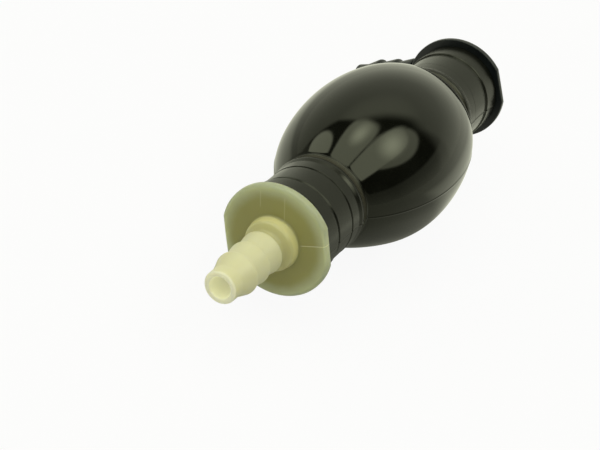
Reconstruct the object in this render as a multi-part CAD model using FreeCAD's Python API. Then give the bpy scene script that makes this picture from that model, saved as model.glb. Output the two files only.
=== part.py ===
import FreeCAD, Part
import math
import os

# Hand siphon pump: a squeeze bulb of rubber with a fitting in each neck.
# Fuel runs along +X: in at the straight tail, through two check valves, out at the elbow.
# The pump lies on its bulb and on the tip of the elbow's tail, as it does on a table.
# Sizes are in millimetres. The origin is on the pump's axis, in the middle of the length
# of the straight tail that a hose grips.

# Hose tails, the same on both fittings
tail_tip_radius = 4.6
tail_tip_length = 3.7
tail_tip_edge = 0.8
tail_shank_radius = 5.1
tail_bore_radius = 3.0
barb_radius = 6.0
barb_land = 0.8
barb_ramp = 5.3
barb_count = 3
first_ramp = 4.4
straight_tail_length = 27.4
elbow_tail_length = 40.5

# Flange, boss and elbow
flange_radius = 16.1
flange_thickness = 2.3
flange_edge = 0.5
flange_flat_offset = 15.2
boss_radius = 7.5
boss_height = 3.4
boss_edge = 1.2
elbow_radius = 6.6
elbow_offset = 9.9
# The inlet's flats stand a few degrees round from the elbow's
inlet_turn = 7.0

# Barrel of each fitting, which the neck grips
barrel_radius = 10.6
barrel_length = 21.0
rib_height = 0.6
rib_width = 2.6
rib_place = 8.0
pocket_radius = 8.0
chamber_radius = 5.2
chamber_length = 4.0

# Squeeze bulb
bulb_radius = 25.0
bulb_half_length = 38.8
bulb_wall = 2.8
bulb_spans = 5
chamber_flats = 3
neck_length = 24.9
neck_radius = 13.7
lip_height = 0.4
lip_width = 7.2
rim_height = 0.5
rim_width = 2.2
root_width = 2.6
root_depth = 0.5

# Check valve, the same at both ends
cartridge_length = 13.4
cartridge_bore = 6.0
seat_wall = 2.2
seat_height = 0.6
seat_radius = 3.9
seat_width = 0.6
port_radius = 3.2
gasket_bore = 6.2
gasket_thickness = 1.0
spider_thickness = 1.6
spider_seat_depth = 0.6
spider_sink = 1.0
spider_rim_width = 1.6
spider_hub_radius = 2.4
spider_hub_rise = 0.8
spider_arm_width = 1.8
spider_arms = 3
poppet_radius = 4.9
poppet_thickness = 1.2
poppet_stem_radius = 1.4
poppet_spigot_radius = 1.9
poppet_button_radius = 2.4
poppet_button_length = 0.9
poppet_seal_radius = 4.7
poppet_seal_thickness = 1.2
poppet_stem_overrun = 0.2
poppet_lift = 2.0
spring_radius = 3.1
spring_wire = 0.6
spring_turns = 3
spring_flats = 4

# Clearances
seat_clearance = 0.03
fit_clearance = 0.05
guide_clearance = 0.06
spring_clearance = 0.03

# Facts that follow from the sizes above
barb_pitch = barb_land + barb_ramp
grip_start = tail_tip_length + first_ramp
grip_length = barb_land + (barb_count - 1) * barb_pitch
tail_tip = -(grip_start + grip_length / 2)
inlet_face = tail_tip + straight_tail_length
inlet_neck = inlet_face + flange_thickness
bulb_root_radius = neck_radius + root_depth
bulb_reach = bulb_half_length * math.sqrt(1 - (bulb_root_radius / bulb_radius) ** 2)
bulb_centre = inlet_neck + neck_length + bulb_reach
outlet_neck = 2 * bulb_centre - inlet_neck
outlet_face = outlet_neck + flange_thickness
elbow_centre = outlet_face + elbow_offset
rubber_bore = barrel_radius + fit_clearance
cartridge_radius = pocket_radius - fit_clearance
pocket_floor = barrel_length - cartridge_length - gasket_thickness
seal_start = seat_wall + seat_height + seat_clearance
poppet_start = seal_start + poppet_seal_thickness
poppet_back = poppet_start + poppet_thickness
spider_start = cartridge_length - spider_sink - spider_thickness
spider_radius = cartridge_bore + spider_seat_depth - fit_clearance
stem_end = spider_start + spider_thickness + poppet_stem_overrun
# The poppet opens until the boss behind its disc meets the spider's hub
hub_start = spider_start - spider_hub_rise
boss_end = hub_start - poppet_lift - seat_clearance
spring_start = poppet_back + spring_clearance
spring_end = spider_start - spring_clearance
# The elbow's tail slants down until its tip is level with the underside of the bulb
tip_reach = elbow_tail_length - tail_tip_edge
elbow_slant = math.degrees(
    math.asin(bulb_radius / math.hypot(tip_reach, tail_tip_radius))
    - math.atan2(tail_tip_radius, tip_reach)
)


def vector(x, y=0.0, z=0.0):
    return FreeCAD.Vector(x, y, z)


class Outline:
    """A closed outline of distance along the X axis and radius, spun into a solid."""

    def __init__(self, along, radius):
        self.first = vector(along, 0, radius)
        self.here = self.first
        self.edges = []

    def line(self, along, radius):
        end = vector(along, 0, radius)
        if end.distanceToPoint(self.here) > 1e-6:
            self.edges.append(Part.LineSegment(self.here, end).toShape())
            self.here = end
        return self

    def ellipse(self, centre, half_length, half_width, along):
        """Follows an ellipse round the axis from here to the place along."""
        widest = vector(centre, 0, half_width)
        curve = Part.Ellipse(vector(centre + half_length), widest, vector(centre))
        share = (along - centre) / half_length
        end = vector(along, 0, half_width * math.sqrt(1 - share * share))
        start_at = curve.parameter(self.here)
        end_at = curve.parameter(end)
        low, high = sorted((start_at, end_at))
        self.edges.append(Part.ArcOfEllipse(curve, low, high).toShape())
        self.here = end
        return self

    def solid(self):
        self.line(self.first.x, self.first.z)
        wire = Part.Wire(Part.__sortEdges__(self.edges))
        return Part.Face(wire).revolve(vector(0), vector(1, 0, 0), 360)


def tail_outline(length):
    """A hose tail on the X axis with its tip at 0 and its root at the length."""
    outline = Outline(0, 0)
    outline.line(0, tail_tip_radius - tail_tip_edge)
    outline.line(tail_tip_edge, tail_tip_radius)
    outline.line(tail_tip_length, tail_tip_radius)
    place = tail_tip_length + first_ramp
    for barb in range(barb_count):
        outline.line(place, barb_radius)
        outline.line(place + barb_land, barb_radius)
        outline.line(place + barb_land, tail_shank_radius)
        place += barb_pitch
    outline.line(length, tail_shank_radius)
    outline.line(length, 0)
    return outline.solid()


def barrel_steps(gap):
    """Places and radii along a barrel from its flange, stood off by the gap."""
    radius = barrel_radius + gap
    return [
        (0, radius),
        (rib_place, radius),
        (rib_place, radius + rib_height),
        (rib_place + rib_width, radius),
    ]


def fitting_blank():
    """Boss, flange and barrel, with the flange's outer face at 0 and the barrel towards +X."""
    outline = Outline(-boss_height, 0)
    outline.line(-boss_height, boss_radius - boss_edge)
    outline.line(boss_edge - boss_height, boss_radius)
    outline.line(0, boss_radius)
    outline.line(0, flange_radius - flange_edge)
    outline.line(flange_edge, flange_radius)
    outline.line(flange_thickness, flange_radius)
    for place, radius in barrel_steps(0):
        outline.line(flange_thickness + place, radius)
    mouth = flange_thickness + barrel_length
    outline.line(mouth, barrel_radius)
    outline.line(mouth, 0)
    blank = outline.solid()
    width = flange_radius - flange_flat_offset
    for side in (1, -1):
        slab = Part.makeBox(flange_thickness, width, 2 * flange_radius)
        low = flange_flat_offset if side > 0 else -flange_radius
        slab.translate(vector(0, low, -flange_radius))
        blank = blank.cut(slab)
    return blank


def fitting_passage(bore_start):
    """Fuel's way through a fitting: the tail's bore, the chamber and the valve's pocket."""
    floor = flange_thickness + pocket_floor
    outline = Outline(bore_start, 0)
    outline.line(bore_start, tail_bore_radius)
    outline.line(floor - chamber_length, tail_bore_radius)
    outline.line(floor - chamber_length, chamber_radius)
    outline.line(floor, chamber_radius)
    outline.line(floor, pocket_radius)
    mouth = flange_thickness + barrel_length
    outline.line(mouth, pocket_radius)
    outline.line(mouth, 0)
    return outline.solid()


def inlet_fitting():
    """Straight tail, boss, flange and barrel in one moulding."""
    tail = tail_outline(straight_tail_length - boss_height / 2)
    tail.translate(vector(-straight_tail_length))
    body = fitting_blank().fuse(tail)
    body = body.cut(fitting_passage(-straight_tail_length)).removeSplitter()
    body.rotate(vector(0), vector(1, 0, 0), inlet_turn - elbow_slant)
    body.translate(vector(inlet_face))
    return body


def outlet_fitting():
    """Flange and barrel as on the inlet, with the tail turned square at an elbow."""
    neck = Part.makeCylinder(elbow_radius, elbow_offset, vector(-elbow_offset), vector(1, 0, 0))
    corner = Part.makeSphere(elbow_radius, vector(-elbow_offset))
    tail = tail_outline(elbow_tail_length)
    tail.translate(vector(-elbow_tail_length))
    root_length = elbow_tail_length - grip_start - grip_length
    root = Part.makeCylinder(elbow_radius, root_length, vector(0), vector(-1, 0, 0))
    arm = tail.fuse(root)
    arm.rotate(vector(0), vector(0, 0, 1), -90)
    arm.translate(vector(-elbow_offset))
    way = Part.makeCylinder(tail_bore_radius, elbow_tail_length, vector(-elbow_offset), vector(0, 1, 0))
    bend = Part.makeSphere(tail_bore_radius, vector(-elbow_offset))
    body = fitting_blank().fuse([neck, corner, arm])
    body = body.cut([fitting_passage(-elbow_offset), way, bend]).removeSplitter()
    body.rotate(vector(0), vector(0, 1, 0), 180)
    body.rotate(vector(0), vector(1, 0, 0), -elbow_slant)
    body.translate(vector(outlet_face))
    return body


def squeeze_bulb():
    """One rubber moulding: a hollow bulb between two banded necks."""
    rim_end = neck_length - root_width
    rim_start = rim_end - rim_width
    bands = [
        (0, neck_radius + lip_height),
        (lip_width, neck_radius + lip_height),
        (lip_width + lip_height, neck_radius),
        (rim_start, neck_radius),
        (rim_start + rim_height, neck_radius + rim_height),
        (rim_end, neck_radius + rim_height),
        (rim_end, neck_radius - root_depth),
        (neck_length, neck_radius - root_depth),
    ]
    outline = Outline(inlet_neck, rubber_bore)
    for place, radius in bands:
        outline.line(inlet_neck + place, radius)
    outline.line(bulb_centre - bulb_reach, bulb_root_radius)
    for span in range(bulb_spans):
        along = bulb_centre + bulb_reach * (2 * (span + 1) / bulb_spans - 1)
        outline.ellipse(bulb_centre, bulb_half_length, bulb_radius, along)
    for place, radius in reversed(bands):
        outline.line(outlet_neck - place, radius)
    for place, radius in barrel_steps(fit_clearance):
        outline.line(outlet_neck - place, radius)
    # The chamber inside has straight flats that follow the bulb's curve one wall inside it
    inner_length = bulb_half_length - bulb_wall
    inner_radius = bulb_radius - bulb_wall
    last_angle = math.acos(rubber_bore / inner_radius)
    for corner in range(chamber_flats + 1):
        angle = last_angle * (1 - 2 * corner / chamber_flats)
        outline.line(bulb_centre + inner_length * math.sin(angle), inner_radius * math.cos(angle))
    for place, radius in reversed(barrel_steps(fit_clearance)):
        outline.line(inlet_neck + place, radius)
    return outline.solid()


def valve_body():
    """Cartridge with its seat at the inlet end, on the X axis from 0."""
    outline = Outline(0, port_radius)
    outline.line(0, cartridge_radius)
    outline.line(cartridge_length, cartridge_radius)
    outline.line(cartridge_length, cartridge_bore + spider_seat_depth)
    outline.line(spider_start, cartridge_bore + spider_seat_depth)
    outline.line(spider_start, cartridge_bore)
    outline.line(seat_wall, cartridge_bore)
    outline.line(seat_wall, seat_radius + seat_width / 2)
    outline.line(seat_wall + seat_height, seat_radius + seat_width / 2)
    outline.line(seat_wall + seat_height, seat_radius - seat_width / 2)
    outline.line(seat_wall, port_radius)
    return outline.solid()


def valve_gasket():
    """Flat ring that the cartridge squeezes against the pocket's floor."""
    outer = pocket_radius - seat_clearance
    outline = Outline(0, gasket_bore)
    outline.line(0, outer)
    outline.line(gasket_thickness, outer)
    outline.line(gasket_thickness, gasket_bore)
    return outline.solid()


def poppet():
    """Button, spigot, disc, spring boss and guide stem in one moulding."""
    button_start = seal_start - poppet_button_length
    outline = Outline(button_start, 0)
    outline.line(button_start, poppet_button_radius)
    outline.line(seal_start, poppet_button_radius)
    outline.line(seal_start, poppet_spigot_radius)
    outline.line(poppet_start, poppet_spigot_radius)
    outline.line(poppet_start, poppet_radius)
    outline.line(poppet_back, poppet_radius)
    outline.line(poppet_back, spider_hub_radius)
    outline.line(boss_end, spider_hub_radius)
    outline.line(boss_end, poppet_stem_radius)
    outline.line(stem_end, poppet_stem_radius)
    outline.line(stem_end, 0)
    return outline.solid()


def poppet_seal():
    """Flat rubber washer held on the spigot between the button and the disc."""
    hole = poppet_spigot_radius + seat_clearance
    outline = Outline(seal_start, hole)
    outline.line(seal_start, poppet_seal_radius)
    outline.line(poppet_start, poppet_seal_radius)
    outline.line(poppet_start, hole)
    return outline.solid()


def spring_spider():
    """Ring, arms and hub that guide the stem and carry the spring."""
    guide = poppet_stem_radius + guide_clearance
    end = spider_start + spider_thickness
    hub = Outline(hub_start, guide)
    hub.line(hub_start, spider_hub_radius)
    hub.line(end, spider_hub_radius)
    hub.line(end, guide)
    ring = Outline(spider_start, spider_radius - spider_rim_width)
    ring.line(spider_start, spider_radius)
    ring.line(end, spider_radius)
    ring.line(end, spider_radius - spider_rim_width)
    arm_length = spider_radius - guide - spider_rim_width / 2
    arms = []
    for number in range(spider_arms):
        arm = Part.makeBox(spider_thickness, spider_arm_width, arm_length - (spider_hub_radius - guide) / 2)
        arm.translate(vector(spider_start, -spider_arm_width / 2, (guide + spider_hub_radius) / 2))
        arm.rotate(vector(0), vector(1, 0, 0), 360 * number / spider_arms)
        arms.append(arm)
    return hub.solid().fuse([ring.solid()] + arms).removeSplitter()


def helix_point(turn, start, pitch):
    angle = 2 * math.pi * turn
    return vector(start + pitch * turn, spring_radius * math.cos(angle), spring_radius * math.sin(angle))


def helix_heading(turn, pitch):
    angle = 2 * math.pi * turn
    sweep = 2 * math.pi * spring_radius
    heading = vector(pitch, -sweep * math.sin(angle), sweep * math.cos(angle))
    return heading.normalize()


def biarc(start, start_heading, end, end_heading):
    """Two arcs that leave along one heading and arrive along the other."""
    span = end - start
    both = start_heading + end_heading
    spread = 2 * (1 - start_heading.dot(end_heading))
    along = span.dot(both)
    reach = (math.sqrt(along * along + spread * span.dot(span)) - along) / spread
    first = start + start_heading * reach
    second = end - end_heading * reach
    joint = (first + second) * 0.5
    arcs = []
    for low, corner, high in ((start, first, joint), (joint, second, end)):
        chord = (low + high) * 0.5
        half = (high - low).Length / 2
        height = (chord - corner).Length
        middle = corner + (chord - corner) * (reach * (reach - half) / height ** 2)
        arcs.append(Part.Arc(low, middle, high).toShape())
    return arcs


def valve_spring():
    """Open coil of wire from the poppet's disc to the spider, drawn with a few flats."""
    start = spring_start + spring_wire / 2
    pitch = (spring_end - spring_start - spring_wire) / spring_turns
    quarters = 4 * spring_turns
    edges = []
    for quarter in range(quarters):
        low = quarter / 4
        high = (quarter + 1) / 4
        edges += biarc(
            helix_point(low, start, pitch), helix_heading(low, pitch),
            helix_point(high, start, pitch), helix_heading(high, pitch),
        )
    path = Part.Wire(edges)
    heading = helix_heading(0, pitch)
    across = vector(0, 1, 0)
    upward = heading.cross(across)
    corners = []
    for side in range(spring_flats + 1):
        angle = 2 * math.pi * (side + 0.5) / spring_flats
        offset = across * math.cos(angle) + upward * math.sin(angle)
        corners.append(helix_point(0, start, pitch) + offset * (spring_wire / 2))
    section = Part.Wire(Part.makePolygon(corners))
    coil = Part.BRepOffsetAPI.MakePipeShell(path)
    coil.add(section)
    coil.build()
    coil.makeSolid()
    print("spring: least gap between turns", round(pitch - spring_wire, 3))
    return coil.shape()


def save(name, shape):
    if shape.ShapeType != "Solid":
        shape = shape.Solids[0] if len(shape.Solids) == 1 else shape
    shape.exportStep(os.path.join("parts", name + ".step"))
    print(name, "solids", len(shape.Solids), "volume", round(shape.Volume, 1), "valid", shape.isValid())


os.makedirs("parts", exist_ok=True)
save("squeeze_bulb", squeeze_bulb())
save("inlet_fitting", inlet_fitting())
save("outlet_fitting", outlet_fitting())

# Each valve opens along +X, and its cartridge is level with the barrel's mouth. The gasket
# lies on the floor of the pocket: before the seat at the inlet, past the spider at the outlet.
valve_places = {
    "inlet": inlet_neck + barrel_length - cartridge_length,
    "outlet": outlet_neck - barrel_length,
}
gasket_places = {
    "inlet": inlet_neck + pocket_floor,
    "outlet": outlet_neck - pocket_floor - gasket_thickness,
}
valve_pieces = {
    "valve_body": valve_body(),
    "poppet": poppet(),
    "poppet_seal": poppet_seal(),
    "valve_spring": valve_spring(),
    "spring_spider": spring_spider(),
}
for end, place in valve_places.items():
    for piece, shape in valve_pieces.items():
        placed = shape.copy()
        placed.translate(vector(place))
        save(end + "_" + piece, placed)
    gasket = valve_gasket()
    gasket.translate(vector(gasket_places[end]))
    save(end + "_valve_gasket", gasket)

print("inlet face", round(inlet_face, 3), "bulb centre", round(bulb_centre, 3))
print("outlet face", round(outlet_face, 3), "elbow centre", round(elbow_centre, 3))
print("elbow slant in degrees", round(elbow_slant, 3), "grip length", round(grip_length, 3))
print("tail tip", round(tail_tip, 3), "elbow grip middle", round(elbow_tail_length - grip_start - grip_length / 2, 3))
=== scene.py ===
"""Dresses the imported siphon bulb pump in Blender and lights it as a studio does."""
import logging
import math
from collections.abc import Callable, Mapping, Sequence
from dataclasses import dataclass, field
from enum import Enum

import bpy
import numpy as np
from mathutils import Matrix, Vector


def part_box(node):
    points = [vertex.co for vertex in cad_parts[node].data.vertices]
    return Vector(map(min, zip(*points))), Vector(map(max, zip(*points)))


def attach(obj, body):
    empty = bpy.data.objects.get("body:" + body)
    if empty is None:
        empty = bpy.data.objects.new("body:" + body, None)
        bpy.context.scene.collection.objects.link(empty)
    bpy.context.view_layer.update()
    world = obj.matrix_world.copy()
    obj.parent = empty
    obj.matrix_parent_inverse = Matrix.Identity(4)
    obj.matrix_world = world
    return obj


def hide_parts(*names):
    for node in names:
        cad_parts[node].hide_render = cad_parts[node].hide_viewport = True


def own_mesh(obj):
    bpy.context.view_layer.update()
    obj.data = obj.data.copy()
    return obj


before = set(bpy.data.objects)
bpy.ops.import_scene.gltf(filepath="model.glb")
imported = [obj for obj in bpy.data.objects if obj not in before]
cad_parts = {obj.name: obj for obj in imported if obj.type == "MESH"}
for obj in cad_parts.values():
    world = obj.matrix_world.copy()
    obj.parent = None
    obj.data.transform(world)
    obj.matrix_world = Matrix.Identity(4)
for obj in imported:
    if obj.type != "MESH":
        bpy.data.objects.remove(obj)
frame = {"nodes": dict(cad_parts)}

Triple = Colour = tuple[float, float, float]
Pair = tuple[float, float]

MM = 0.001
TURN = 2 * math.pi
AHEAD = np.array([1.0, 0.0, 0.0])
WHITE: Colour = (1.0, 1.0, 1.0)
DARK: Colour = (0.0, 0.0, 0.0)
LOG = logging.getLogger("siphon_pump")

# Shader maths


def operator(operation: str, swapped: bool = False) -> Callable[["Flow", "Plug"], "Flow"]:
    """Makes an operator of a flow and another value.

    Args:
        operation: The operation of the Math node that it adds.
        swapped: Whether the other value comes first.

    Returns:
        The operator.
    """
    def work(flow: "Flow", other: "Plug") -> "Flow":
        """The result of the operation."""
        return flow.bench.maths(operation, *((other, flow) if swapped else (flow, other)))
    return work


class Flow:
    """A socket that gives a value, with arithmetic that adds Math nodes."""

    def __init__(self, bench: "NodeBench", socket: bpy.types.NodeSocket) -> None:
        """Keeps the bench that adds nodes and the socket that gives the value."""
        self.bench = bench
        self.socket = socket

    def __abs__(self) -> "Flow":
        """Self without its sign."""
        return self.bench.maths("ABSOLUTE", self)

    __add__ = __radd__ = operator("ADD")
    __mul__ = __rmul__ = operator("MULTIPLY")
    __sub__, __rsub__ = operator("SUBTRACT"), operator("SUBTRACT", swapped=True)
    __truediv__, __rtruediv__ = operator("DIVIDE"), operator("DIVIDE", swapped=True)
    __pow__ = operator("POWER")


Plug = Flow | float | Sequence[float]
Sockets = Mapping[str | int, Plug]


class NodeBench:
    """Adds nodes to the tree of one material or world and links them."""

    def __init__(self, owner: bpy.types.Material | bpy.types.World) -> None:
        """Turns the owner's nodes on and empties its tree.

        Args:
            owner: The material or world.
        """
        owner.use_nodes = True
        self.tree = owner.node_tree
        self.tree.nodes.clear()

    def add(self, kind: str, sockets: Sockets | None = None, **settings: object) -> bpy.types.Node:
        """Makes a node.

        Args:
            kind: The node's type.
            sockets: Values or links of its inputs, by identifier, name or number.
            settings: Its properties, which are set first.

        Returns:
            The new node.
        """
        node = self.tree.nodes.new(kind)
        for name, value in settings.items():
            setattr(node, name, value)
        for name, value in (sockets or {}).items():
            self._feed(self._find(node.inputs, name), value)
        return node

    def out(self, node: bpy.types.Node, name: str | int = 0) -> Flow:
        """Wraps one output of a node."""
        return Flow(self, self._find(node.outputs, name))

    def maths(self, operation: str, *values: Plug) -> Flow:
        """Adds a Math node on the values."""
        return self.out(self.add("ShaderNodeMath", dict(enumerate(values)), operation=operation))

    def most(self, value: Plug, *others: Plug) -> Flow:
        """Gives the greatest of the values.

        Args:
            value: The first value.
            others: The values that it is compared with.

        Returns:
            The greatest.
        """
        for other in others:
            value = self.maths("MAXIMUM", value, other)
        return value

    def vectors(self, operation: str, *values: Plug, output: str = "Vector") -> Flow:
        """Adds a Vector Math node on the values and gives one of its outputs."""
        node = self.add("ShaderNodeVectorMath", dict(enumerate(values)), operation=operation)
        return self.out(node, output)

    def dot(self, first: Plug, second: Plug) -> Flow:
        """The dot product of two vectors."""
        return self.vectors("DOT_PRODUCT", first, second, output="Value")

    def scaled(self, vector: Plug, factor: Plug) -> Flow:
        """A vector times a number."""
        return self.out(self.add("ShaderNodeVectorMath", {0: vector, "Scale": factor}, operation="SCALE"))

    def blend(self, share: Plug, first: Plug, second: Plug) -> Flow:
        """Mixes two colours by the share of the second."""
        sockets = {"Factor_Float": share, "A_Color": first, "B_Color": second}
        return self.out(self.add("ShaderNodeMix", sockets, data_type="RGBA"), "Result_Color")

    def rise(self, value: Plug, low: float, high: float) -> Flow:
        """Rises smoothly from 0 at low to 1 at high."""
        sockets = {"Value": value, "From Min": low, "From Max": high}
        return self.out(self.add("ShaderNodeMapRange", sockets, interpolation_type="SMOOTHSTEP"))

    def fall(self, value: Flow, low: float, high: float) -> Flow:
        """Falls evenly from 1 at low to 0 at high."""
        return self.maths("MINIMUM", self.most((high - value) / (high - low), 0.0), 1.0)

    def band(self, value: Flow, centre: float, half: float, soft: float) -> Flow:
        """1 within the half width of the centre, falling smoothly to 0 over the soft width."""
        return 1.0 - self.rise(abs(value - centre), half, half + soft)

    def noise(self, scale: float, detail: float, rough: float = 0.5) -> Flow:
        """Fractal noise over the piece, from 0 to 1, at the scale in waves per metre."""
        sockets = {"Vector": self.place(), "Scale": scale, "Detail": detail, "Roughness": rough}
        return self.out(self.add("ShaderNodeTexNoise", sockets))

    def grain(self, height: Plug, depth: float, strength: float) -> Flow:
        """A bumped normal from a height, whose unit is the depth in metres."""
        sockets = {"Height": height, "Distance": depth, "Strength": strength}
        return self.out(self.add("ShaderNodeBump", sockets))

    def place(self) -> Flow:
        """The object coordinates, in metres."""
        return self.out(self.add("ShaderNodeTexCoord"), "Object")

    def split(self, vector: Plug) -> tuple[Flow, Flow, Flow]:
        """The three numbers of a vector."""
        node = self.add("ShaderNodeSeparateXYZ", {0: vector})
        return self.out(node, 0), self.out(node, 1), self.out(node, 2)

    def rays(self, *kinds: str) -> Flow:
        """1 for rays of the kinds that are named, and 0 for all others."""
        path = self.add("ShaderNodeLightPath")
        return self.most(*(self.out(path, f"Is {kind} Ray") for kind in kinds))

    def glow(self, kind: str, colour: Plug, strength: Plug = 1.0) -> Flow:
        """A shader that gives off light, of the node type given."""
        return self.out(self.add(kind, {"Color": colour, "Strength": strength}))

    def finish(self, kind: str, share: Plug, first: Flow, second: Flow) -> None:
        """Mixes two shaders by the share of the second, into an output node of the type given."""
        mixed = self.add("ShaderNodeMixShader", {0: share, 1: first, 2: second})
        self.add(kind, {"Surface": self.out(mixed)})

    def _feed(self, socket: bpy.types.NodeSocket, value: Plug) -> None:
        """Links a flow to a socket, or sets the socket's own value.

        Args:
            socket: The input socket.
            value: What goes into it. A colour of three numbers gets an alpha of 1.
        """
        if isinstance(value, Flow):
            self.tree.links.new(value.socket, socket)
        elif socket.type == "RGBA" and len(value) == 3:
            socket.default_value = (*value, 1.0)
        else:
            socket.default_value = value

    @staticmethod
    def _find(sockets: bpy.types.bpy_prop_collection, name: str | int) -> bpy.types.NodeSocket:
        """Finds a socket.

        Args:
            sockets: The inputs or outputs of a node.
            name: Its number, identifier or name.

        Returns:
            The socket.
        """
        if isinstance(name, int):
            return sockets[name]
        return next((s for s in sockets if s.identifier == name), None) or sockets[name]


# Finishes


@dataclass(frozen=True)
class Finish:
    """A procedural material of one kind of surface."""

    name: str

    def material(self) -> bpy.types.Material:
        """Makes the material once and gives it.

        Returns:
            The material named after this finish's slot.
        """
        title = f"{self.name}_finish"
        material = bpy.data.materials.get(title)
        if material is None:
            material = bpy.data.materials.new(title)
            bench = NodeBench(material)
            shader = bench.add("ShaderNodeBsdfPrincipled", self.shade(bench))
            bench.add("ShaderNodeOutputMaterial", {"Surface": bench.out(shader)})
        return material

    def shade(self, bench: NodeBench) -> Sockets:
        """Gives the values and links of the shader's sockets."""
        raise NotImplementedError


@dataclass(frozen=True)
class MouldedRubber(Finish):
    """Black rubber: polished over the bulb, satin on the necks, faintly mottled.

    The places are distances from the bulb's middle, along the axis.
    """

    base: Colour = (0.0022, 0.0024, 0.0016)
    bloom: Colour = (0.0042, 0.0045, 0.0034)
    dust: Colour = (0.026, 0.023, 0.014)
    sheen: Colour = (0.97, 1.0, 0.85)
    middle: float = 71.934 * MM
    neck_rise: Pair = (31.95 * MM, 32.85 * MM)
    groove_place: float = 33.65 * MM
    groove_half: float = 0.7 * MM
    groove_edge: float = 0.5 * MM
    groove_roughening: float = 0.25
    bulb_roughness: float = 0.075
    neck_roughness: float = 0.26
    wipe_swing: float = 0.04
    cloud_swing: float = 0.03
    bloom_rise: Pair = (0.35, 0.75)
    least_dust: float = 0.5
    bulb_tooth: float = 0.25
    wipe_height: float = 0.5

    def shade(self, bench: NodeBench) -> Sockets:
        """Gives the values and links of the shader's sockets.

        Args:
            bench: The bench that adds the nodes.

        Returns:
            What goes into each socket, by its name.
        """
        along, _, _ = bench.split(bench.place())
        reach = abs(along - self.middle)
        neck = bench.rise(reach, *self.neck_rise)
        groove = bench.band(reach, self.groove_place, self.groove_half, self.groove_edge)
        cloud = bench.noise(scale=90.0, detail=3.0)
        fine = bench.noise(scale=2600.0, detail=2.0)
        wipe = bench.noise(scale=420.0, detail=4.0, rough=0.65)
        colour = bench.blend(bench.rise(cloud, *self.bloom_rise), self.base, self.bloom)
        dusty = groove * (self.least_dust + cloud * (1.0 - self.least_dust))
        rough = self.bulb_roughness + neck * (self.neck_roughness - self.bulb_roughness)
        rough = rough + (wipe - 0.5) * self.wipe_swing + (cloud - 0.5) * self.cloud_swing
        rough = rough + groove * self.groove_roughening
        tooth = fine * (self.bulb_tooth + (1.0 - self.bulb_tooth) * neck)
        height = tooth + wipe * self.wipe_height
        return {
            "Base Color": bench.blend(dusty, colour, self.dust),
            "Roughness": rough,
            "Normal": bench.grain(height, depth=0.02 * MM, strength=0.35),
            "IOR": 1.5,
            "Specular Tint": self.sheen,
        }


@dataclass(frozen=True)
class Hairline:
    """A straight hairline on the flange, in millimetres and radians.

    It runs out from the axis, up by the slant from the side away from the elbow.
    """

    slant: float
    aside: float
    start: float
    end: float = 20.0
    half: float = 0.04
    soft: float = 0.16
    strength: float = 0.32

    def mark(self, bench: NodeBench, across: Flow, up: Flow) -> Flow:
        """Gives the line's strength where it runs, fading over a millimetre at its ends.

        Args:
            bench: The bench that adds the nodes.
            across: The place along Y, in metres.
            up: The place along Z, in metres.

        Returns:
            The strength on the line and 0 elsewhere.
        """
        cosine, sine = math.cos(self.slant), math.sin(self.slant)
        outward = across * -cosine + up * sine
        line = bench.band(across * sine + up * cosine, self.aside * MM, self.half * MM, self.soft * MM)
        begun = bench.rise(outward, self.start * MM, (self.start + 1.0) * MM)
        ended = bench.rise(outward, self.end * MM, (self.end + 1.0) * MM)
        return line * self.strength * (begun * (1.0 - ended))


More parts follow.
